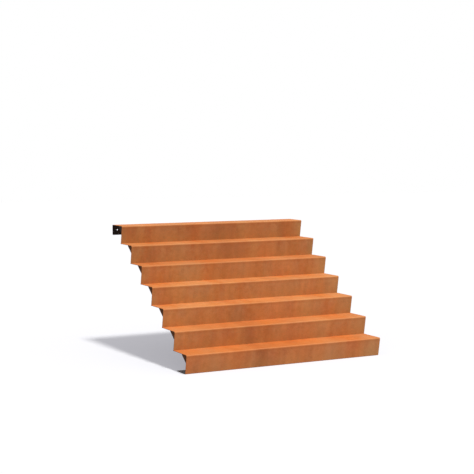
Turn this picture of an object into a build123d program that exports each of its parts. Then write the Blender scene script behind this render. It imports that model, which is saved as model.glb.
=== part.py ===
from build123d import *
import math
import os

# A straight garden stair of folded weathering steel. Each step is one folded sheet: a tread, and the
# riser that hangs from its nosing. The riser stands on the back edge of the tread below. The lowest
# sheet is folded back into a foot flange, and the highest is folded down into a wall flange. Small
# gussets hold each nosing square at both ends and in the middle.
# +Z is up, the stair climbs towards +Y, and X runs along the treads. The origin is on the underside of
# the foot flange, halfway along its row of anchor holes.

# The flight
step_count = 7
stair_width = 2000.0
step_rise = 170.0
step_going = 240.0
riser_lean = 30.0
top_tread_depth = 245.0

# The sheet, the radius inside its folds, and the strip of tread behind each riser that takes the weld
sheet = 3.0
nosing_bend = 9.0
flange_bend = 3.0
weld_land = 6.0

# The flanges and their rows of anchor holes
foot_flange_depth = 175.0
foot_hole_setback = 75.0
wall_flange_height = 100.0
wall_hole_drop = 50.0
flange_corner = 8.0
anchor_hole = 12.0
anchor_holes_per_row = 4
anchor_end_distance = 50.0

# The gussets inside each nosing
gusset_sheet = 3.0
gusset_along_tread = 100.0
gusset_down_riser = 72.0
gusset_nose = 6.0
gusset_corner_relief = 6.0
gusset_end_inset = 3.0

# Directions in the side view, as (Y, Z): along a tread from its nosing, down a riser from its nosing,
# and square into the sheet from the tread's upper face and from the riser's front face
along_tread = Vector(1, 0)
down_riser = Vector(riser_lean, -step_rise).normalized()
under_tread = Vector(along_tread.Y, -along_tread.X)
behind_riser = Vector(-down_riser.Y, down_riser.X)

# The fold at a nosing, and how long the sheet's thickness is where a riser is cut level
nosing_angle = math.radians(along_tread.get_angle(down_riser))
slant_cut = sheet / math.sin(nosing_angle)
nosing_bend_tangent = nosing_bend / math.tan(nosing_angle / 2)


def nosing(step):
    """The sharp corner where a step's tread face and riser face would meet."""
    first = Vector(-foot_hole_setback - riser_lean, step_rise)
    return first + Vector(step_going, step_rise) * (step - 1)


def riser_foot(step):
    """Where a riser's front face comes down on the tread below, or on the ground."""
    return nosing(step) + Vector(riser_lean, -step_rise)


def tread_end(step):
    """The back end of a tread's upper face, past the riser that stands on it."""
    return riser_foot(step + 1) + along_tread * (slant_cut + weld_land)


def wall_corner():
    """The sharp corner where the highest tread meets the wall."""
    return nosing(step_count) + along_tread * top_tread_depth


def folded_sheet(corners, bends):
    """A sheet folded at the corners of its front and upper faces, its thickness behind them."""
    face_line = FilletPolyline(*corners, radius=[bend + sheet for bend in bends])
    section = make_face(offset(face_line, sheet, side=Side.RIGHT, closed=True).edges())
    return extrude(Plane.YZ * section, amount=stair_width / 2, both=True)


def seated_on_tread(blank, step):
    """Cuts a riser's lower edge level, at the face of the tread that it stands on."""
    return split(blank, bisect_by=Plane.XY.offset(riser_foot(step).Y), keep=Keep.TOP)


def rounded_corners(plate, end_y, end_z):
    """Rounds the two free corners of a flange, whose end face is at this place in the side view."""
    ends = (-stair_width / 2, stair_width / 2)
    corners = [plate.edges().sort_by_distance((x, end_y, end_z))[0] for x in ends]
    return fillet(corners, radius=flange_corner)


def anchor_drills(flange_face):
    """Drills for a row of anchor holes along X, square through a flange's outer face."""
    pitch = (stair_width - 2 * anchor_end_distance) / (anchor_holes_per_row - 1)
    places = GridLocations(pitch, 0, anchor_holes_per_row, 1)
    return [flange_face * place * Cylinder(anchor_hole / 2, 4 * sheet) for place in places]


def bottom_step():
    """The lowest sheet: tread, riser and the foot flange folded back on the ground."""
    foot = riser_foot(1)
    flange_end = foot + Vector(foot_flange_depth, 0)
    plate = folded_sheet([flange_end, foot, nosing(1), tread_end(1)], [flange_bend, nosing_bend])
    plate = rounded_corners(plate, flange_end.X, flange_end.Y + sheet / 2)
    return plate - anchor_drills(Plane.XY)


def middle_step(step):
    """A sheet between the lowest and the highest: tread and riser."""
    below_foot = riser_foot(step) + down_riser * sheet
    plate = folded_sheet([below_foot, nosing(step), tread_end(step)], [nosing_bend])
    return seated_on_tread(plate, step)


def top_step():
    """The highest sheet: tread, riser and the wall flange folded down behind."""
    below_foot = riser_foot(step_count) + down_riser * sheet
    corner = wall_corner()
    flange_end = corner - Vector(0, wall_flange_height)
    plate = folded_sheet([below_foot, nosing(step_count), corner, flange_end], [nosing_bend, flange_bend])
    plate = rounded_corners(seated_on_tread(plate, step_count), flange_end.X - sheet / 2, flange_end.Y)
    wall_face = Plane(origin=(0, corner.X, corner.Y - wall_hole_drop), x_dir=(1, 0, 0), z_dir=(0, 1, 0))
    return plate - anchor_drills(wall_face)


def gusset(step, middle_x):
    """A gusset in the fold of a nosing: blunt at both tips, and cut back clear of the bend."""
    corner = nosing(step) + (along_tread + down_riser) * slant_cut
    relief = nosing_bend_tangent + gusset_corner_relief
    tread_tip = corner + along_tread * gusset_along_tread
    riser_tip = corner + down_riser * gusset_down_riser
    outline = [
        corner + along_tread * relief,
        tread_tip,
        tread_tip + under_tread * gusset_nose,
        riser_tip + behind_riser * gusset_nose,
        riser_tip,
        corner + down_riser * relief,
    ]
    face = make_face(Polyline(*outline, close=True))
    return Pos(middle_x, 0, 0) * extrude(Plane.YZ * face, amount=gusset_sheet / 2, both=True)


nodes = {}
for step in range(1, step_count + 1):
    if step == 1:
        nodes[f"step_{step}_sheet"] = bottom_step()
    elif step == step_count:
        nodes[f"step_{step}_sheet"] = top_step()
    else:
        nodes[f"step_{step}_sheet"] = middle_step(step)
    end_gusset_x = (stair_width - gusset_sheet) / 2 - gusset_end_inset
    nodes[f"step_{step}_gusset_left"] = gusset(step, -end_gusset_x)
    nodes[f"step_{step}_gusset_middle"] = gusset(step, 0)
    nodes[f"step_{step}_gusset_right"] = gusset(step, end_gusset_x)

os.makedirs("parts", exist_ok=True)
for name, shape in nodes.items():
    export_step(shape, f"parts/{name}.step")
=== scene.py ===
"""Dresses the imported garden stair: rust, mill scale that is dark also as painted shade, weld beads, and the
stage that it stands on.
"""

import math
from types import SimpleNamespace

import bpy
import numpy as np
from bpy.props import FloatProperty, FloatVectorProperty, IntProperty, PointerProperty
from bpy.types import Operator, Panel, PropertyGroup
from mathutils import Euler, Matrix, Vector


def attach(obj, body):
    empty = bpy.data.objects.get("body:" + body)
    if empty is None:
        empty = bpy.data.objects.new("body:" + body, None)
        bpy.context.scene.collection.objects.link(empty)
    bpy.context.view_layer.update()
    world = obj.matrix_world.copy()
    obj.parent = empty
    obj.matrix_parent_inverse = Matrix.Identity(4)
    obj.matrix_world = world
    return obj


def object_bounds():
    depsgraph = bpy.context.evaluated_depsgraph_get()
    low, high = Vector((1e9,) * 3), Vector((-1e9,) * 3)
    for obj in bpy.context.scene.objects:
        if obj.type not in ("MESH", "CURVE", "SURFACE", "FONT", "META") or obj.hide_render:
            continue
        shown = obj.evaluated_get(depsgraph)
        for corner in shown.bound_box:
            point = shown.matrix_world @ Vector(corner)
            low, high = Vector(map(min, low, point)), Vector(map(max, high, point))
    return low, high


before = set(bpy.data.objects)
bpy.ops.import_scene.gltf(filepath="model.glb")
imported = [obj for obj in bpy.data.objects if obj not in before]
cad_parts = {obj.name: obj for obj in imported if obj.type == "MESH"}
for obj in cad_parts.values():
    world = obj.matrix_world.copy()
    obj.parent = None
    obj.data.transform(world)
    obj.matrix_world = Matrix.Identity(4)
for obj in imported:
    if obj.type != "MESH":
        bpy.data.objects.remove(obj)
cad_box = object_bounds()

bl_info = {
    "name": "Folded Steel Garden Stair",
    "version": (1, 0, 0),
    "blender": (4, 5, 0),
    "location": "3D View > Sidebar > Stair",
    "description": "Rust, mill scale and weld beads for a stair of folded steel sheets",
    "category": "Object",
}

BODY = "root"
STEP_COUNT = sum(name.endswith("_sheet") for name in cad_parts)
GUSSET_SIDES = {"left": -1, "middle": 0, "right": 1}

# Marks where water has run down or stood: lowest and highest step, place across the stair, half of the
# width, share of the mark's tint on the risers and on the treads, and the tint. The widest marks cover
# a whole step.
WHOLE = 4.00
RUN_MARKS = (
    (1, 1, 0.00, WHOLE, 0.08, 0.00, "dark"),
    (1, 1, 0.00, WHOLE, 0.00, 0.55, "red"),
    (2, 2, 0.00, WHOLE, 0.00, 0.45, "red"),
    (5, 5, 0.00, WHOLE, 0.02, 0.20, "dark"),
    (2, 2, 0.00, WHOLE, 0.06, 0.00, "dark"),
    (4, 4, 0.00, WHOLE, 0.04, 0.00, "dark"),
    (5, 5, 0.00, WHOLE, 0.00, 0.30, "red"),
    (1, 2, -0.26, 0.10, 0.42, 0.24, "dark"),
    (3, 3, -0.26, 0.16, 0.28, 0.18, "dark"),
    (2, 2, -0.62, 0.30, 0.12, 0.06, "dark"),
    (1, 3, -0.26, 0.12, 0.10, 0.60, "red"),
    (2, 2, -0.22, 0.16, 0.40, 0.30, "red"),
    (4, 4, 0.04, 0.14, 0.00, 0.50, "red"),
    (5, 7, -0.04, 0.26, 0.40, 0.50, "red"),
    (5, 7, 0.18, 0.14, 0.45, 0.50, "red"),
    (7, 7, -0.22, 0.14, 0.60, 0.30, "red"),
    (5, 6, -0.22, 0.12, 0.00, 0.50, "red"),
    (6, 7, 0.08, 0.26, 0.30, 0.00, "red"),
    (2, 2, -0.75, 0.12, 0.50, 0.00, "red"),
    (3, 3, -0.65, 0.18, 0.35, 0.00, "red"),
    (6, 7, 0.02, 0.14, 0.16, 0.10, "dark"),
    (6, 7, 0.78, 0.10, 0.18, 0.10, "dark"),
    (4, 4, -0.05, 0.12, 0.16, 0.06, "dark"),
    (2, 2, 0.44, 0.12, 0.18, 0.08, "dark"),
    (7, 7, -0.92, 0.16, 0.80, 0.50, "red"),
    (6, 7, -0.52, 0.16, 0.60, 0.50, "ochre"),
    (1, 3, 0.92, 0.14, 0.60, 0.60, "ochre"),
    (4, 4, 0.40, 0.60, 0.55, 0.10, "ochre"),
    (7, 7, -0.62, 0.16, 0.40, 0.20, "ochre"),
    (2, 2, 0.06, 0.20, 0.50, 0.00, "ochre"),
    (2, 2, 0.70, 0.14, 0.50, 0.00, "ochre"),
    (3, 3, 0.62, 0.12, 0.60, 0.40, "ochre"),
    (5, 7, 0.48, 0.30, 0.28, 0.28, "light"),
    (5, 6, -0.19, 0.04, 0.16, 0.00, "light"),
    (2, 3, 0.26, 0.28, 0.26, 0.26, "light"),
    (4, 4, 0.32, 0.16, 0.16, 0.05, "light"),
    (3, 3, 0.12, 0.32, 0.24, 0.06, "light"),
    (4, 4, 0.66, 0.14, 0.20, 0.10, "light"),
    (2, 3, -0.96, 0.14, 0.20, 0.20, "light"),
    (4, 7, 0.90, 0.14, 0.16, 0.08, "light"),
    (4, 5, -0.92, 0.14, 0.22, 0.08, "light"),
    # This last mark makes the whole highest tread lighter.
    (7, 7, 0.00, WHOLE, 0.00, 0.38, "light"),
)

# How far a red or an ochre mark's tint lies from the rust's red towards its ochre
MARK_TINTS = {"red": 0.12, "ochre": 0.88}

# How far a mark's middle sways, as a share of half its width, and how softly it starts and ends at the
# foot and the top of its steps
MARK_SWAY = 1.2
MARK_START = 0.006
MARK_END = 0.004

# The direction out of the folded strip, in the side view
OUTWARDS_BACK = -0.70
OUTWARDS_UP = 0.71

# Parts of a face's normal between which a mask rises, for each kind of face, squared for cut edges
OUTSIDE_FACES = (-0.15, 0.15)
TREAD_FACES = (0.35, 0.85)
FOOT_FLANGE_FACES = (0.2, 0.5)
WALL_FLANGE_FACES = (-0.2, -0.5)
NOT_WALL_FACES = (0.8, 0.2)
SHEET_END_FACES = (0.4, 0.6)
GUSSET_EDGE_FACES = (0.5, 0.3)

# Values of even noise between which the mask of each pattern rises
BAND_EDGES = (0.28, 0.72)
CLOUD_EDGES = (0.35, 0.65)
OLD_SCAB_EDGES = (0.56, 0.74)
FRESH_SPECK_EDGES = (0.55, 0.75)
DARK_SPECK_EDGES = (0.45, 0.25)
BLOOM_EDGES = (0.47, 0.62)
SCALE_SPECK_EDGES = (0.5, 0.8)
GUSSET_SCAB_EDGES = (0.34, 0.58)
GUSSET_SPECK_EDGES = (0.52, 0.75)
BEAD_SCAB_EDGES = (0.35, 0.65)

# Heights between which the top of the foot flange ends, and distances from the wall between which the
# wall flange's front starts, and the painted shade behind the highest step, where the mill scale stays
# blacker
FOOT_FLANGE_TOP = (0.013, 0.011)
WALL_FLANGE_FRONT = (0.010, 0.007)
WALL_SHADE_REACH = (0.050, 0.015)

# Heights between which the flight turns to its slightly darker upper steps, and how softly the lowest
# riser and the highest gussets are set apart
UPPER_STEPS = (0.72, 1.15)
LOWEST_RISER_EDGE = 0.01
HIGHEST_GUSSET_EDGE = 0.02

# Distance from a nosing's fold at which its wear and painted highlight are full, and distances between which
# the painted shade under it starts
HIGHLIT_WEAR_CORE = 0.003
SHADE_UNDER_NOSING = (0.045, 0.010)

# Relief of the rust: its depth in metres, and how high each pattern stands in it
SHEET_RELIEF = 0.0006
GUSSET_RELIEF = 0.0005
BEAD_RELIEF = 0.0002
SPECK_HEIGHT = 0.6
GRAIN_HEIGHT = 0.25
PIT_HEIGHT = 0.6
SCAB_HEIGHT = 1.2

# Roughness of the mill scale, what the rust adds to it, what the specks change and what wear takes off
SCALE_ROUGHNESS = 0.58
RUST_ROUGHNESS = 0.24
SPECK_ROUGHNESS = 0.25
WORN_SMOOTHNESS = 0.12
GUSSET_ROUGHNESS = 0.72
BEAD_ROUGHNESS = 0.50
SMALL_SPECK_ROUGHNESS = 0.30
SHEET_GLOSS = 0.25
GUSSET_GLOSS = 0.06
BEAD_GLOSS = 0.35

# The grid of a weld bead, and the shape of its ends, its crescents and its wandering leg. Each sine has
# its share, its radians per metre of bead, and its shift from one bead to the next.
STATIONS_PER_RIPPLE = 6
FEWEST_STATIONS = 12
POINTS_ACROSS = 9
END_ROUNDING = 1.1
CRESCENT_LAG = 0.35
RIPPLE_SHIFT = 0.37
WANDER_SHARE = 0.6
WANDER_SINES = ((1.0, 310, 2.4), (0.6, 740, 5.1))

# The width of the camera's film in millimetres, and how far it sees in metres
FILM_WIDTH = 36
FARTHEST_SEEN = 200


def length(name, description, default):
    """A property that holds a length in metres."""
    return FloatProperty(
        name=name, description=description, default=default, precision=4, unit="LENGTH"
    )


def colour(name, description, default):
    """A property that holds a colour."""
    return FloatVectorProperty(
        name=name, description=description, default=default, subtype="COLOR", size=3, min=0, max=1
    )


def share(name, description, default):
    """A property that holds a share from 0 to 1."""
    return FloatProperty(
        name=name, description=description, default=default, min=0, max=1, subtype="FACTOR"
    )


def angle(name, description, degrees):
    """A property that holds an angle, whose default is given in degrees."""
    return FloatProperty(
        name=name, description=description, default=math.radians(degrees), subtype="ANGLE"
    )


class StairShape(PropertyGroup):
    """The sizes of the steel stair that the finishes and the welds follow."""

    rise: length("Rise", "Height of one step", 0.170)
    going: length("Going", "Depth of one step, from nosing to nosing", 0.240)
    lean: length("Lean", "How far a riser's foot stands back from its nosing", 0.030)
    sheet: length("Sheet", "Thickness of the folded sheets and the gussets", 0.003)
    nosing_bend: length("Nosing bend", "Radius inside the fold at a nosing", 0.009)
    foot_setback: length("Foot setback", "From the lowest riser's foot to the anchor holes", 0.075)
    gusset_inset: length("Gusset inset", "From the end of the stair to an end gusset", 0.003)
    gusset_tread_leg: length("Gusset along tread", "Length of a gusset's edge on the tread", 0.100)
    gusset_riser_leg: length("Gusset down riser", "Length of a gusset's edge on the riser", 0.072)
    gusset_relief: length("Gusset relief", "How far a gusset's corner is cut back past the bend", 0.006)


class StairWelds(PropertyGroup):
    """The sizes of the weld beads."""

    riser_leg: length("Riser weld leg", "Leg of the stitch welds behind a riser's foot", 0.0048)
    gusset_leg: length("Gusset weld leg", "Leg of the welds along a gusset", 0.0022)
    stitch: length("Stitch", "Length of one stitch weld", 0.060)
    stitch_margin: length("Stitch margin", "From the end of the stair to the first stitch", 0.012)
    stitch_count: IntProperty(
        name="Stitches", description="Stitch welds behind each riser", default=10, min=2
    )
    ripple: length("Ripple", "Distance from one ripple of a bead to the next", 0.0026)
    tip_gap: length("Tip gap", "How far a gusset's weld stops short of its tip", 0.003)
    sink: length("Sink", "How deep a bead's toes lie in the sheets", 0.0003)
    crown: share("Crown", "Height of a bead's crown as a share of its leg", 0.20)
    ripple_height: share("Ripple height", "Height of a ripple as a share of the leg", 0.07)
    wander: share("Wander", "How much a bead's leg varies along its length", 0.10)


class StairFinish(PropertyGroup):
    """The colours of the steel."""

    red_riser: colour("Red riser", "The redder bands of the rust on the risers", (0.575, 0.172, 0.048))
    ochre_riser: colour("Ochre riser", "The yellower bands on the risers", (0.645, 0.331, 0.134))
    red_tread: colour("Red tread", "The redder bands of the rust on the treads", (0.645, 0.152, 0.020))
    ochre_tread: colour("Ochre tread", "The yellower bands on the treads", (0.721, 0.303, 0.107))
    golden_riser: colour("Golden riser", "Golden blotches on the risers", (0.742, 0.308, 0.074))
    golden_tread: colour("Golden tread", "Golden blotches on the treads", (0.830, 0.276, 0.050))
    old_rust: colour("Old rust", "Dark scabs of older rust", (0.30, 0.085, 0.028))
    fresh_rust: colour("Fresh rust", "Light new rust in fine specks", (0.86, 0.38, 0.15))
    # Polished rust along a nosing, lighter also as a painted highlight
    polish_and_highlight: colour("Worn edge", "Rust that feet polish along a nosing", (0.82, 0.38, 0.16))
    # Painted shade: darker, redder rust just under a nosing
    shade_under_nosing: colour("Under the nosing", "Redder rust just under a nosing", (0.55, 0.135, 0.026))
    # Painted shade: browner, darker rust low on a riser, which offsets the light that the tread below throws
    # onto it
    low_riser_shade_tint: colour("Splashed rust", "Browner rust that rain splashes up from a tread", (0.41, 0.30, 0.083))
    # Painted reflected light: a redder tint on the lowest riser, standing in for light that the floor throws
    # back
    lowest_riser_bounce_tint: colour("Ground splash", "Redder rust on the lowest riser", (0.86, 0.17, 0.052))
    # Mill scale, kept dark also as painted shade inside the folds
    mill_scale_and_shade: colour("Mill scale", "The dark skin inside the folds", (0.040, 0.030, 0.027))
    scale_rust: colour("Rust on scale", "Rust that breaks through the mill scale", (0.23, 0.078, 0.026))
    cut_edge: colour("Cut edge", "The cut edges of the sheets", (0.085, 0.032, 0.012))
    gusset_rust: colour("Gusset rust", "The brown rust of the gussets", (0.17, 0.055, 0.013))
    weld_rust: colour("Weld rust", "The rust on the weld beads", (0.24, 0.085, 0.032))


class StairPatterns(PropertyGroup):
    """The sizes of the patterns in the rust."""

    band_width: length("Band width", "Width of the colour bands down the risers", 0.300)
    patch_size: length("Patch size", "Size of the light and dark patches", 0.220)
    cloud_size: length("Cloud size", "Size of the golden blotches", 0.120)
    sway_size: length("Sway size", "Size of the bends in the edges of a run mark", 0.070)
    run_width: length("Run width", "Width of the runs down the risers", 0.050)
    streak_width: length("Streak width", "Width of the finest streaks down the risers", 0.016)
    brush_width: length("Brush width", "Width of the marks that feet and brooms leave along a tread", 0.014)
    scab_size: length("Scab size", "Size of the scabs of old rust", 0.045)
    pit_size: length("Pit size", "Size of the shallow pits", 0.010)
    speck_size: length("Speck size", "Size of the specks of fresh rust", 0.0036)
    grain_size: length("Grain size", "Size of the grain of the rust", 0.0011)
    gusset_scab_size: length("Gusset scab size", "Size of the scabs on the gussets", 0.012)
    gusset_speck_size: length("Gusset speck size", "Size of the specks on the gussets", 0.00252)
    bead_scab_size: length("Bead scab size", "Size of the scabs on the weld beads", 0.009)
    # The band of wear along a nosing is also a painted highlight
    highlit_wear_width: length("Worn width", "Width of the worn band along a nosing", 0.020)
    highlit_wear_ragged: length("Worn raggedness", "How far the worn band's edge strays", 0.022)
    # Height and raggedness of the painted shade low on a riser
    low_riser_shade_height: length("Splash height", "How far up a riser the rain splashes", 0.130)
    low_riser_shade_ragged: length("Splash raggedness", "How far the splashes' upper edge strays", 0.040)


class StairWeather(PropertyGroup):
    """How strongly each kind of rust and wear shows."""

    band_streaks: share("Streaked bands", "How far streaks break up the colour bands", 0.03)
    band_scabs: share("Scabbed bands", "How far scabs break up the colour bands", 0.38)
    golden: share("Golden blotches", "Golden rust in its blotches", 0.36)
    # Painted reflected light on the lowest riser
    lowest_riser_bounce: share("Lowest riser", "Redder rust on the lowest riser", 0.35)
    patch_tone: share("Patches", "How much the patches lighten and darken", 0.40)
    run_tone: share("Runs", "How much the runs and the brush marks do", 0.31)
    scab_tone: share("Scabs", "How much the scabs do on a riser", 0.30)
    scab_calm: share("Calmer treads", "How much less the scabs do on a tread", 0.16)
    pit_tone: share("Pits", "How much the pits lighten and darken", 0.34)
    upper_shade: share("Upper steps", "How much darker the upper steps are", 0.11)
    old_scabs: share("Old scabs", "Old rust in the scabs", 0.16)
    fresh_specks: share("Fresh specks", "Fresh rust in the specks", 0.28)
    dark_specks: share("Dark specks", "Old rust between the specks", 0.28)
    # Share of the polished rust along a nosing, which is also a painted highlight
    wear_and_highlight: share("Wear", "Polished rust along a nosing", 0.35)
    # Painted shade under a nosing
    shade_under_nosing: share("Under the nosing", "Redder rust under a nosing", 0.35)
    # Painted shade low on a riser, and how much less of it the lowest riser has
    splash: share("Splashes", "Browner rust low on a riser", 0.26)
    lowest_riser_less_shade: share("Fewer splashes", "How much less of it the lowest riser has", 0.12)
    bloom_patches: share("Patchy blooms", "How far patches, not scabs, shape the blooms on mill scale", 0.40)
    bloom_streaks: share("Streaked blooms", "How far streaks break up the blooms", 0.12)
    # Painted shade: the mill scale behind the highest step is kept blacker
    shade_by_wall: share("Clean by the wall", "How far the blooms are missing behind the highest step", 0.85)
    scale_specks: share("Specks on scale", "Rust in the specks of the mill scale", 0.35)
    # Painted shade: the highest gussets, by the wall, are kept black
    highest_gusset_shade: share("Clean gussets", "How far the rust is missing on the highest gussets", 0.90)
    gusset_specks: share("Specks on gussets", "Lighter rust in the specks of the gussets", 0.40)
    gusset_edges: share("Gusset edges", "Darker rust along the cut edges of the gussets", 0.60)
    bead_specks: share("Specks on beads", "Lighter rust in the specks of the weld beads", 0.50)


class StairStage(PropertyGroup):
    """The floor, the light and the camera."""

    floor_size: length("Floor size", "Side of the square floor", 60.0)
    floor_grey: share("Floor grey", "How pale the floor looks to the camera", 0.63)
    floor_bounce: share("Floor bounce", "How pale the floor is to the light that it sends back", 0.50)
    floor_lift: colour("Floor lift", "Light that the floor adds towards the camera", (0.343, 0.339, 0.369))
    lamp_strength: FloatProperty(
        name="Lamp strength", description="Strength of both lamps together", default=2.70, min=0
    )
    lamp_direction: FloatVectorProperty(
        name="Lamp direction",
        description="From the stair towards the lamps",
        default=(0.0723, -0.3963, 0.9152),
        subtype="DIRECTION",
    )
    lamp_angle: angle("Lamp angle", "Width of each lamp in the sky, which softens shadows", 8.5)
    lamp_spread: angle(
        "Lamp spread", "From the lower lamp to the higher, which softens shadows more along the climb", 4.4
    )
    sky: colour("Sky", "The even light from all round", (0.28, 0.28, 0.29))
    camera_place: FloatVectorProperty(
        name="Camera place",
        description="Where the camera stands",
        default=(-5.23026, -9.06964, 1.96012),
        subtype="TRANSLATION",
        unit="LENGTH",
    )
    camera_turn: angle(
        "Camera turn", "Which way the camera faces, turned from straight along the climb", -27.7525
    )
    camera_tilt: angle("Camera tilt", "How far the camera looks down", 4.4666)
    lens: FloatProperty(
        name="Lens", description="Focal length in millimetres", default=88.882, subtype="DISTANCE_CAMERA"
    )


class Socket:
    """An output of a node that carries a number. Arithmetic on it adds Math nodes."""

    def __init__(self, finish, output):
        self.finish = finish
        self.output = output

    def math(self, operation, *others):
        """The result of a Math node whose first input is this socket."""
        inputs = dict(enumerate((self, *others)))
        return self.finish.node("ShaderNodeMath", {"operation": operation}, inputs)

    def __add__(self, other):
        return self.math("ADD", other)

    def __radd__(self, other):
        return self.math("ADD", other)

    def __sub__(self, other):
        return self.math("SUBTRACT", other)

    def __rsub__(self, other):
        return self.math("MULTIPLY_ADD", -1.0, other)

    def __mul__(self, other):
        return self.math("MULTIPLY", other)

    def __rmul__(self, other):
        return self.math("MULTIPLY", other)

    def __truediv__(self, other):
        return self.math("DIVIDE", other)

    def __pow__(self, other):
        return self.math("POWER", other)


def as_colour(value):
    """A colour with its fourth part, or a socket as it is."""
    if isinstance(value, Socket):
        return value
    return (*value, 1.0)


def swing(noise):
    """Even noise as a swing to both sides of 0."""
    return noise - 0.5


class Finish:
    """A tree of shader nodes, with one method that adds a node and a few that name common ones."""

    def __init__(self, tree):
        self.tree = tree

    def feed(self, socket, value):
        """Links a socket to another one, or sets its own value."""
        if isinstance(value, Socket):
            self.tree.links.new(value.output, socket)
        else:
            socket.default_value = value

    def node(self, kind, settings, inputs, output=0):
        """Adds a node: its settings first, then a value or a link for each of its inputs."""
        made = self.tree.nodes.new(kind)
        for name, value in settings.items():
            setattr(made, name, value)
        for key, value in inputs.items():
            self.feed(made.inputs[key], value)
        return Socket(self, made.outputs[output])

    def mix(self, amount, first, second):
        """A colour from first to second as the amount goes from 0 to 1."""
        return self.node(
            "ShaderNodeMix",
            {"data_type": "RGBA", "clamp_factor": True},
            {0: amount, 6: as_colour(first), 7: as_colour(second)},
            output=2,
        )

    def tone(self, tint, factor):
        """A colour made lighter or darker by a factor."""
        return self.node(
            "ShaderNodeVectorMath", {"operation": "SCALE"}, {"Vector": tint, "Scale": factor}
        )

    def ease(self, value, low, high):
        """A mask that rises smoothly from 0 at low to 1 at high."""
        return self.node(
            "ShaderNodeMapRange",
            {"interpolation_type": "SMOOTHSTEP"},
            {"Value": value, "From Min": low, "From Max": high},
        )

    def axes(self, vector):
        """The three parts of a vector as numbers."""
        return [self.node("ShaderNodeSeparateXYZ", {}, {0: vector}, output=k) for k in range(3)]


class SteelFinish(Finish):
    """The node tree of one of the stair's materials, with the places that all of them read."""

    def __init__(self, name):
        self.material = bpy.data.materials.new(name)
        self.material.use_nodes = True
        super().__init__(self.material.node_tree)
        self.shader = self.tree.nodes["Principled BSDF"]
        self.place = self.node("ShaderNodeTexCoord", {}, {}, output="Object")
        self.normal = self.node("ShaderNodeTexCoord", {}, {}, output="Normal")
        self.x, self.y, self.z = self.axes(self.place)
        self.facing_x, self.facing_y, self.facing_z = self.axes(self.normal)

    def noise(self, size, detail, roughness, stretch=(1, 1, 1), distortion=0.0):
        """Even noise about 0.5, with features of this size, stretched along the three axes."""
        scaled = self.node(
            "ShaderNodeVectorMath",
            {"operation": "MULTIPLY"},
            {0: self.place, 1: [1 / (size * part) for part in stretch]},
        )
        return self.node(
            "ShaderNodeTexNoise",
            {},
            {
                "Vector": scaled,
                "Scale": 1.0,
                "Detail": detail,
                "Roughness": roughness,
                "Distortion": distortion,
            },
        )

    def fold_distance(self, shape, first_y, first_z):
        """Distance from the nearest of the fold lines that repeat with every step."""
        step = ((self.z - first_z) / shape.rise).math("ROUND")
        off_y = self.y - first_y - step * shape.going
        off_z = self.z - first_z - step * shape.rise
        return (off_y * off_y + off_z * off_z) ** 0.5

    def run_mark(self, shape, first, last, place_across, half_width, sway):
        """Where water has run down over these steps, round one place across the stair."""
        off = (self.x - place_across + swing(sway) * half_width * MARK_SWAY).math("ABSOLUTE")
        bottom = shape.rise * (first - 1)
        top = shape.rise * last
        above = self.ease(self.z, bottom, bottom + MARK_START)
        below = self.ease(self.z, top + MARK_END, top)
        return self.ease(off, half_width, 0.0) * (above * below)

    def surface(self, base, roughness, height, depth, gloss):
        """Sends the colour, the roughness, the relief and the gloss to the shader."""
        self.feed(self.shader.inputs["Base Color"], base)
        self.feed(self.shader.inputs["Specular IOR Level"], gloss)
        self.feed(self.shader.inputs["Roughness"], roughness)
        relief = self.node("ShaderNodeBump", {}, {"Distance": depth, "Height": height})
        self.feed(self.shader.inputs["Normal"], relief)


def sheet_noises(steel, sizes):
    """The patterns of noise in the sheets' rust and mill scale, stretched down a riser or along a tread."""
    return SimpleNamespace(
        bands=steel.noise(sizes.band_width, detail=3.0, roughness=0.5, stretch=(1, 4, 6), distortion=0.2),
        patches=steel.noise(sizes.patch_size, detail=4.0, roughness=0.6, stretch=(1, 2, 2)),
        clouds=steel.noise(sizes.cloud_size, detail=3.0, roughness=0.55, stretch=(1, 1, 2)),
        streaks=steel.noise(sizes.streak_width, detail=3.0, roughness=0.55, stretch=(1, 8, 30)),
        runs=steel.noise(sizes.run_width, detail=3.0, roughness=0.6, stretch=(1, 8, 10)),
        brushed=steel.noise(sizes.brush_width, detail=3.0, roughness=0.6, stretch=(12, 1, 1)),
        scabs=steel.noise(sizes.scab_size, detail=6.0, roughness=0.64),
        pits=steel.noise(sizes.pit_size, detail=3.0, roughness=0.65),
        specks=steel.noise(sizes.speck_size, detail=3.0, roughness=0.7),
        grain=steel.noise(sizes.grain_size, detail=2.0, roughness=0.6),
        sway=steel.noise(sizes.sway_size, detail=4.0, roughness=0.6),
    )


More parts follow.
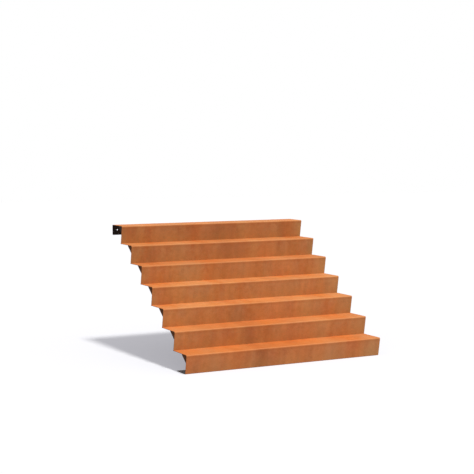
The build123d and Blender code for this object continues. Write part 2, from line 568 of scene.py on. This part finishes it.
def rusted_side(steel, scene, noises, tread, wear_and_highlight):
    """The rust outside: bands of colour, marks, patches and specks, wear and a painted highlight on the
    nosings, painted shade under the nosings and low on the risers, and painted reflected light on the lowest
    riser.
    """
    shape = scene.stair_shape
    colours = scene.stair_finish
    sizes = scene.stair_patterns
    weather = scene.stair_weather
    riser = 1 - tread
    scabs = noises.scabs
    specks = noises.specks

    # Bands that run down the risers and on from step to step, golden blotches, and the run marks
    red = steel.mix(tread, colours.red_riser, colours.red_tread)
    ochre = steel.mix(tread, colours.ochre_riser, colours.ochre_tread)
    golden = steel.mix(tread, colours.golden_riser, colours.golden_tread)
    bands = noises.bands + swing(noises.streaks) * weather.band_streaks + swing(scabs) * weather.band_scabs
    rust = steel.mix(steel.ease(bands, *BAND_EDGES), red, ochre)
    rust = steel.mix(steel.ease(noises.clouds, *CLOUD_EDGES) * weather.golden, rust, golden)
    # Painted reflected light: the lowest riser is tinted redder, standing in for light that the floor throws
    # back
    lowest = steel.ease(steel.z, shape.rise, shape.rise - LOWEST_RISER_EDGE) * riser
    rust = steel.mix(lowest * weather.lowest_riser_bounce, rust, colours.lowest_riser_bounce_tint)
    tints = {name: steel.mix(towards, red, ochre) for name, towards in MARK_TINTS.items()}
    tints["dark"] = colours.old_rust
    tints["light"] = colours.fresh_rust
    for first, last, place_across, half_width, on_riser, on_tread, tint in RUN_MARKS:
        mark = steel.run_mark(shape, first, last, place_across, half_width, noises.sway)
        mark = mark * (tread * (on_tread - on_riser) + on_riser)
        rust = steel.mix(mark, rust, tints[tint])

    # Lighter and darker patches, runs, scabs, pits and specks
    runs = swing(noises.runs + tread * (noises.brushed - noises.runs))
    tone = (
        1
        + swing(noises.patches) * weather.patch_tone
        + runs * weather.run_tone
        + swing(scabs) * (weather.scab_tone - tread * weather.scab_calm)
        + swing(noises.pits) * weather.pit_tone
        - steel.ease(steel.z, *UPPER_STEPS) * weather.upper_shade
    )
    rust = steel.tone(rust, tone)
    old_scabs = steel.ease(scabs, *OLD_SCAB_EDGES) * weather.old_scabs
    rust = steel.mix(old_scabs, rust, colours.old_rust)
    fresh_specks = steel.ease(specks, *FRESH_SPECK_EDGES) * weather.fresh_specks
    rust = steel.mix(fresh_specks, rust, colours.fresh_rust)
    dark_specks = steel.ease(specks, *DARK_SPECK_EDGES) * weather.dark_specks
    rust = steel.mix(dark_specks, rust, colours.old_rust)

    # Wear and a painted highlight along the nosings, painted shade under them, and painted shade low on each
    # riser, which offsets the light that the tread below throws onto it
    rust = steel.mix(wear_and_highlight.nosing * weather.wear_and_highlight, rust, colours.polish_and_highlight)
    shade_under_nosing = steel.ease(wear_and_highlight.distance, *SHADE_UNDER_NOSING) * riser
    rust = steel.mix(shade_under_nosing * weather.shade_under_nosing, rust, colours.shade_under_nosing)
    above_tread = steel.z.math("FLOORED_MODULO", shape.rise)
    splash = steel.ease(above_tread + swing(scabs) * sizes.low_riser_shade_ragged, sizes.low_riser_shade_height, 0.0)
    low_riser_shade_share = weather.splash - lowest * weather.lowest_riser_less_shade
    return steel.mix(splash * riser * low_riser_shade_share, rust, colours.low_riser_shade_tint)


def scaled_and_shaded_side(steel, scene, noises):
    """The mill scale inside the folds, dark also as painted shade, with rust that breaks through it in
    blooms, streaks and specks.
    """
    colours = scene.stair_finish
    weather = scene.stair_weather
    blooms = (
        noises.scabs * (1 - weather.bloom_patches)
        + noises.patches * weather.bloom_patches
        + swing(noises.streaks) * weather.bloom_streaks
    )
    blooms = steel.ease(blooms, *BLOOM_EDGES)
    # Painted shade: behind the highest step, except on faces that look at the wall, the blooms thin out and
    # the mill scale stays blacker
    near_wall = steel.ease(steel.y, *before_wall(WALL_SHADE_REACH)) * steel.ease(steel.facing_y, *NOT_WALL_FACES)
    blooms = blooms * (1 - near_wall * weather.shade_by_wall)
    scale = steel.mix(blooms, colours.mill_scale_and_shade, colours.scale_rust)
    specks = steel.ease(noises.specks, *SCALE_SPECK_EDGES) * weather.scale_specks
    return steel.mix(specks, scale, colours.scale_rust)


def before_wall(distances):
    """Places along the climb at these distances in front of the wall."""
    return [cad_box[1].y - distance for distance in distances]


def outside_mask(steel):
    """
    Which side of the folded strip a point is on: 1 outside, where the rust is, and 0 inside the folds.

    The outside faces forwards and up, except that the foot and wall flanges turn their inner sides there.
    """
    outward = steel.facing_z * OUTWARDS_UP + steel.facing_y * OUTWARDS_BACK
    foot_top = steel.ease(steel.z, *FOOT_FLANGE_TOP) * steel.ease(steel.facing_z, *FOOT_FLANGE_FACES)
    wall_front = steel.ease(steel.y, *before_wall(WALL_FLANGE_FRONT)) * steel.ease(
        steel.facing_y, *WALL_FLANGE_FACES
    )
    return steel.ease(outward, *OUTSIDE_FACES) * (1 - foot_top) * (1 - wall_front)


def nosing_wear_and_highlight(steel, scene, noises, tread):
    """The distance from the nearest nosing's fold, and the mask of the band of wear along it, which is also a
    painted highlight.
    """
    shape = scene.stair_shape
    sizes = scene.stair_patterns
    distance = steel.fold_distance(shape, -shape.foot_setback - shape.lean, shape.rise)
    ragged = distance + swing(noises.scabs) * sizes.highlit_wear_ragged
    nosing = tread * steel.ease(ragged, sizes.highlit_wear_width, HIGHLIT_WEAR_CORE)
    return SimpleNamespace(distance=distance, nosing=nosing)


def weathered_sheet(scene):
    """The sheets: rust outside, mill scale that is dark also as painted shade inside the folds, and darker
    cut edges.
    """
    steel = SteelFinish("weathered sheet")
    noises = sheet_noises(steel, scene.stair_patterns)
    tread = steel.ease(steel.facing_z, *TREAD_FACES)
    wear_and_highlight = nosing_wear_and_highlight(steel, scene, noises, tread)
    outside = outside_mask(steel)
    base = steel.mix(
        outside, scaled_and_shaded_side(steel, scene, noises), rusted_side(steel, scene, noises, tread, wear_and_highlight)
    )
    cut = steel.ease(steel.facing_x * steel.facing_x, *SHEET_END_FACES)
    base = steel.mix(cut, base, scene.stair_finish.cut_edge)
    roughness = (
        SCALE_ROUGHNESS
        + outside * RUST_ROUGHNESS
        + swing(noises.specks) * SPECK_ROUGHNESS
        - wear_and_highlight.nosing * WORN_SMOOTHNESS
    )
    height = (
        noises.specks * SPECK_HEIGHT
        + noises.grain * GRAIN_HEIGHT
        + noises.pits * PIT_HEIGHT
        + noises.scabs * SCAB_HEIGHT
    )
    steel.surface(base, roughness, height, SHEET_RELIEF, SHEET_GLOSS)
    return steel.material


def shaded_gusset(scene):
    """The gussets: brown rust over mill scale, with painted shade on the highest ones, by the wall, where the
    mill scale is left black.
    """
    colours = scene.stair_finish
    sizes = scene.stair_patterns
    weather = scene.stair_weather
    steel = SteelFinish("shaded gusset")
    scabs = steel.noise(sizes.gusset_scab_size, detail=5.0, roughness=0.62)
    specks = steel.noise(sizes.gusset_speck_size, detail=3.0, roughness=0.7)
    highest = scene.stair_shape.rise * (STEP_COUNT - 1)
    # Painted shade on the highest gussets: no rust and no specks there
    by_wall = steel.ease(steel.z, highest, highest + HIGHEST_GUSSET_EDGE)
    rusted = steel.ease(scabs, *GUSSET_SCAB_EDGES) * (1 - by_wall * weather.highest_gusset_shade)
    rust = steel.mix(rusted, colours.mill_scale_and_shade, colours.gusset_rust)
    speckled = steel.ease(specks, *GUSSET_SPECK_EDGES) * (1 - by_wall) * weather.gusset_specks
    rust = steel.mix(speckled, rust, colours.scale_rust)
    cut = steel.ease(steel.facing_x * steel.facing_x, *GUSSET_EDGE_FACES)
    rust = steel.mix(cut * weather.gusset_edges, rust, colours.cut_edge)
    roughness = GUSSET_ROUGHNESS + swing(specks) * SMALL_SPECK_ROUGHNESS
    steel.surface(rust, roughness, specks * SPECK_HEIGHT + scabs, GUSSET_RELIEF, GUSSET_GLOSS)
    return steel.material


def weld_bead_finish(scene):
    """The weld beads: scabs of rust over mill scale, with specks of rust on scale, made once."""
    name = "rusted weld bead"
    if name in bpy.data.materials:
        return bpy.data.materials[name]
    colours = scene.stair_finish
    sizes = scene.stair_patterns
    steel = SteelFinish(name)
    scabs = steel.noise(sizes.bead_scab_size, detail=4.0, roughness=0.6)
    specks = steel.noise(sizes.grain_size, detail=3.0, roughness=0.7)
    rust = steel.mix(steel.ease(scabs, *BEAD_SCAB_EDGES), colours.mill_scale_and_shade, colours.weld_rust)
    speckled = steel.ease(specks, *SCALE_SPECK_EDGES) * scene.stair_weather.bead_specks
    rust = steel.mix(speckled, rust, colours.scale_rust)
    roughness = BEAD_ROUGHNESS + swing(specks) * SMALL_SPECK_ROUGHNESS
    steel.surface(rust, roughness, specks, BEAD_RELIEF, BEAD_GLOSS)
    return steel.material


def side_directions(shape):
    """Unit vectors in the side view: back along a tread, down a riser, and square in behind each."""
    along = np.array((0.0, 1.0, 0.0))
    down = np.array((0.0, shape.lean, -shape.rise))
    down /= np.linalg.norm(down)
    under = np.array((0.0, along[2], -along[1]))
    behind = np.array((0.0, -down[2], down[1]))
    return along, down, under, behind


def nosing_point(shape, step):
    """The sharp corner where a step's tread face and riser face would meet, at mid width."""
    first_y = -shape.foot_setback - shape.lean
    return np.array((0.0, first_y + shape.going * (step - 1), shape.rise * step))


def slant_cut(along, down, sheet):
    """Length of the sheet's thickness where it is cut along the other sheet's slope."""
    return sheet / abs(along[1] * down[2] - along[2] * down[1])


def weld_bead(welds, start, end, first_face, second_face, leg, seed):
    """
    Points and faces of one fillet weld in the corner line from start to end.

    Across the bead, a point goes straight from the toe on the first face to the toe on the second, and
    the crown adds a parabola. Along the bead, the leg grows as a quarter circle at each end and wanders
    as a sum of two sines, and each ripple is a cosine of the distance that lags with the square of the
    place across, which makes crescents.
    """
    run = end - start
    distance = np.linalg.norm(run)
    outwards = first_face + second_face
    outwards /= np.linalg.norm(outwards)
    stations = max(FEWEST_STATIONS, int(distance / welds.ripple * STATIONS_PER_RIPPLE))
    along = np.linspace(0, 1, stations + 1)[1:-1, None]
    across = np.linspace(0, 1, POINTS_ACROSS)[None, :]

    from_end = np.minimum(along, 1 - along) * distance
    growth = np.sqrt(1 - (1 - np.clip(from_end / (END_ROUNDING * leg), 0, 1)) ** 2)
    sway = sum(part * np.sin(along * distance * waves + seed * shift) for part, waves, shift in WANDER_SINES)
    size = leg * growth * (1 + WANDER_SHARE * welds.wander * sway)
    swell = 4 * across * (1 - across)
    turns = along * distance / welds.ripple + CRESCENT_LAG * (2 * across - 1) ** 2 + seed * RIPPLE_SHIFT
    crest = 0.5 + 0.5 * np.cos(2 * np.pi * turns)
    height = size * swell * (welds.crown + welds.ripple_height * crest)

    root = start + along[..., None] * run - outwards * welds.sink
    skin = (
        root
        + (size * (1 - across))[..., None] * first_face
        + (size * across)[..., None] * second_face
        + height[..., None] * outwards
    )
    rings = np.concatenate([skin, root], axis=1)
    ends = np.array([start, end]) - outwards * welds.sink
    points = np.concatenate([rings.reshape(-1, 3), ends])
    faces = tube_faces(*rings.shape[:2])
    if np.dot(np.cross(first_face, second_face), run) > 0:
        faces = [face[::-1] for face in faces]
    return points, faces


def tube_faces(rings, around):
    """Faces of a closed tube of rings of points, drawn in to one point at each end."""
    here = np.arange(rings * around).reshape(rings, around)
    after = np.roll(here, -1, axis=1)
    quads = np.stack([here[:-1], here[1:], after[1:], after[:-1]], axis=-1).reshape(-1, 4)
    first = np.full(around, rings * around)
    start_fan = np.stack([first, here[0], after[0]], axis=-1)
    end_fan = np.stack([first + 1, after[-1], here[-1]], axis=-1)
    return quads.tolist() + start_fan.tolist() + end_fan.tolist()


def piece_from_beads(name, beads, material):
    """One object that holds all the beads of a group."""
    points = np.concatenate([part for part, faces in beads])
    faces = []
    base = 0
    for part, bead_faces in beads:
        faces += [[corner + base for corner in face] for face in bead_faces]
        base += len(part)
    mesh = bpy.data.meshes.new(name)
    mesh.from_pydata(points, [], faces)
    mesh.shade_smooth()
    mesh.materials.append(material)
    piece = bpy.data.objects.new(name, mesh)
    bpy.context.scene.collection.objects.link(piece)
    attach(piece, BODY)


class STAIR_OT_finish_sheets(Operator):
    """Gives every folded sheet its rust and mill scale"""

    bl_idname = "stair.finish_sheets"
    bl_label = "Finish the Sheets"

    def execute(self, context):
        material = weathered_sheet(context.scene)
        for step in range(1, STEP_COUNT + 1):
            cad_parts[f"step_{step}_sheet"].material_slots[0].material = material
        return {"FINISHED"}


class STAIR_OT_finish_gussets(Operator):
    """Gives every gusset its brown rust"""

    bl_idname = "stair.finish_gussets"
    bl_label = "Finish the Gussets"

    def execute(self, context):
        material = shaded_gusset(context.scene)
        for step in range(1, STEP_COUNT + 1):
            for side in GUSSET_SIDES:
                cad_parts[f"step_{step}_gusset_{side}"].material_slots[0].material = material
        return {"FINISHED"}


class STAIR_OT_weld_risers(Operator):
    """Lays the stitch welds behind the feet of the risers that stand on a tread"""

    bl_idname = "stair.weld_risers"
    bl_label = "Weld the Risers"

    def execute(self, context):
        shape = context.scene.stair_shape
        welds = context.scene.stair_welds
        material = weld_bead_finish(context.scene)
        along, down = side_directions(shape)[:2]
        reach = cad_box[1].x - welds.stitch_margin - welds.stitch / 2
        middles = np.linspace(-reach, reach, welds.stitch_count)
        half_stitch = np.array((welds.stitch / 2, 0, 0))
        for step in range(2, STEP_COUNT + 1):
            foot = nosing_point(shape, step) + np.array((0, shape.lean, -shape.rise))
            corner = foot + along * slant_cut(along, down, shape.sheet)
            beads = []
            for number, middle in enumerate(middles):
                place = corner + np.array((middle, 0, 0))
                start = place - half_stitch
                end = place + half_stitch
                seed = step * 10 + number
                beads.append(weld_bead(welds, start, end, along, -down, welds.riser_leg, seed))
            piece_from_beads(f"step_{step}_riser_welds", beads, material)
        return {"FINISHED"}


class STAIR_OT_weld_gussets(Operator):
    """Lays the welds along both edges of every gusset, on both of its sides"""

    bl_idname = "stair.weld_gussets"
    bl_label = "Weld the Gussets"

    def execute(self, context):
        shape = context.scene.stair_shape
        welds = context.scene.stair_welds
        material = weld_bead_finish(context.scene)
        along, down, under, behind = side_directions(shape)
        cut = slant_cut(along, down, shape.sheet)
        fold = math.acos(float(np.dot(along, down)))
        relief = shape.nosing_bend / math.tan(fold / 2) + shape.gusset_relief
        end_gusset = cad_box[1].x - shape.gusset_inset - shape.sheet / 2
        edges = ((along, under, shape.gusset_tread_leg), (down, behind, shape.gusset_riser_leg))
        for step in range(1, STEP_COUNT + 1):
            inner_corner = nosing_point(shape, step) + (along + down) * cut
            beads = []
            for side in GUSSET_SIDES.values():
                for face in (-1, 1):
                    flank = np.array((side * end_gusset + face * shape.sheet / 2, 0, 0))
                    away = np.array((float(face), 0, 0))
                    for edge, inwards, leg in edges:
                        start = inner_corner + flank + edge * (relief + welds.tip_gap)
                        end = inner_corner + flank + edge * (leg - welds.tip_gap)
                        seed = step * 20 + side * 3 + face + leg * 100
                        beads.append(weld_bead(welds, start, end, away, inwards, welds.gusset_leg, seed))
            piece_from_beads(f"step_{step}_gusset_welds", beads, material)
        return {"FINISHED"}


class STAIR_OT_lay_stage(Operator):
    """Lays the pale floor, and sets the two lamps, the sky and the camera"""

    bl_idname = "stair.lay_stage"
    bl_label = "Lay the Stage"

    def execute(self, context):
        scene = context.scene
        stage = scene.stair_stage
        lay_floor(scene, stage)
        hang_lamps(scene, stage)
        paint_sky(scene, stage)
        set_camera(scene, stage)
        scene.view_settings.view_transform = "Standard"
        return {"FINISHED"}


def lay_floor(scene, stage):
    """A square floor, pale in itself and a little lighter to the camera, so that it ends in white."""
    half = stage.floor_size / 2
    corners = [(-half, -half, 0), (half, -half, 0), (half, half, 0), (-half, half, 0)]
    mesh = bpy.data.meshes.new("floor")
    mesh.from_pydata(corners, [], [(0, 1, 2, 3)])
    floor = bpy.data.objects.new("floor", mesh)
    scene.collection.objects.link(floor)
    material = bpy.data.materials.new("pale floor")
    material.use_nodes = True
    pale = Finish(material.node_tree)
    seen = pale.node("ShaderNodeLightPath", {}, {}, output="Is Camera Ray")
    grey = pale.mix(seen, (stage.floor_bounce,) * 3, (stage.floor_grey,) * 3)
    matte = pale.node("ShaderNodeBsdfDiffuse", {}, {"Color": grey})
    lift = pale.node(
        "ShaderNodeEmission", {}, {"Color": as_colour(stage.floor_lift), "Strength": seen}
    )
    both = pale.node("ShaderNodeAddShader", {}, {0: matte, 1: lift})
    pale.feed(pale.tree.nodes["Material Output"].inputs["Surface"], both)
    mesh.materials.append(material)


def hang_lamps(scene, stage):
    """Two broad sun lamps, one above the other, so that shadows are softest along the climb."""
    for part in (-0.5, 0.5):
        lamp = bpy.data.lights.new("lamp", "SUN")
        lamp.energy = stage.lamp_strength / 2
        lamp.angle = stage.lamp_angle
        towards = Matrix.Rotation(part * stage.lamp_spread, 3, "X") @ Vector(stage.lamp_direction)
        hung = bpy.data.objects.new("lamp", lamp)
        hung.rotation_euler = towards.to_track_quat("Z", "Y").to_euler()
        scene.collection.objects.link(hung)


def paint_sky(scene, stage):
    """An even sky that lights the stair softly, and is white where it is seen or reflected."""
    scene.world = bpy.data.worlds.new("sky")
    scene.world.use_nodes = True
    sky = Finish(scene.world.node_tree)
    seen = [
        sky.node("ShaderNodeLightPath", {}, {}, output=f"Is {kind} Ray")
        for kind in ("Camera", "Glossy", "Transmission")
    ]
    white = seen[0].math("MAXIMUM", seen[1]).math("MAXIMUM", seen[2])
    tone = sky.mix(white, stage.sky, (1, 1, 1))
    sky.feed(sky.tree.nodes["Background"].inputs["Color"], tone)


def set_camera(scene, stage):
    """A camera at the photograph's place and angle."""
    camera = bpy.data.cameras.new("camera")
    camera.lens = stage.lens
    camera.sensor_width = FILM_WIDTH
    camera.clip_end = FARTHEST_SEEN
    held = bpy.data.objects.new("camera", camera)
    held.location = stage.camera_place
    held.rotation_euler = Euler((math.pi / 2 - stage.camera_tilt, 0, stage.camera_turn))
    scene.collection.objects.link(held)
    scene.camera = held


class STAIR_PT_dressing(Panel):
    """Lists the steps that dress the stair, and the values that they use"""

    bl_label = "Garden Stair"
    bl_space_type = "VIEW_3D"
    bl_region_type = "UI"
    bl_category = "Stair"

    def draw(self, context):
        for operator in OPERATORS:
            self.layout.operator(operator.bl_idname)
        for name, group in GROUPS.items():
            box = self.layout.box()
            for prop in group.__annotations__:
                box.prop(getattr(context.scene, name), prop)


GROUPS = {
    "stair_shape": StairShape,
    "stair_welds": StairWelds,
    "stair_finish": StairFinish,
    "stair_patterns": StairPatterns,
    "stair_weather": StairWeather,
    "stair_stage": StairStage,
}
OPERATORS = (
    STAIR_OT_lay_stage,
    STAIR_OT_finish_sheets,
    STAIR_OT_finish_gussets,
    STAIR_OT_weld_risers,
    STAIR_OT_weld_gussets,
)


def register():
    """Registers the classes, and hangs each group of properties on the scene."""
    for name, group in GROUPS.items():
        bpy.utils.register_class(group)
        setattr(bpy.types.Scene, name, PointerProperty(type=group))
    for operator in OPERATORS:
        bpy.utils.register_class(operator)
    bpy.utils.register_class(STAIR_PT_dressing)


def unregister():
    """Takes back what register did."""
    bpy.utils.unregister_class(STAIR_PT_dressing)
    for operator in reversed(OPERATORS):
        bpy.utils.unregister_class(operator)
    for name, group in GROUPS.items():
        delattr(bpy.types.Scene, name)
        bpy.utils.unregister_class(group)


def main():
    """Dresses the stair."""
    register()
    bpy.ops.stair.lay_stage()
    bpy.ops.stair.finish_sheets()
    bpy.ops.stair.finish_gussets()
    bpy.ops.stair.weld_risers()
    bpy.ops.stair.weld_gussets()


if __name__ == "__main__":
    main()
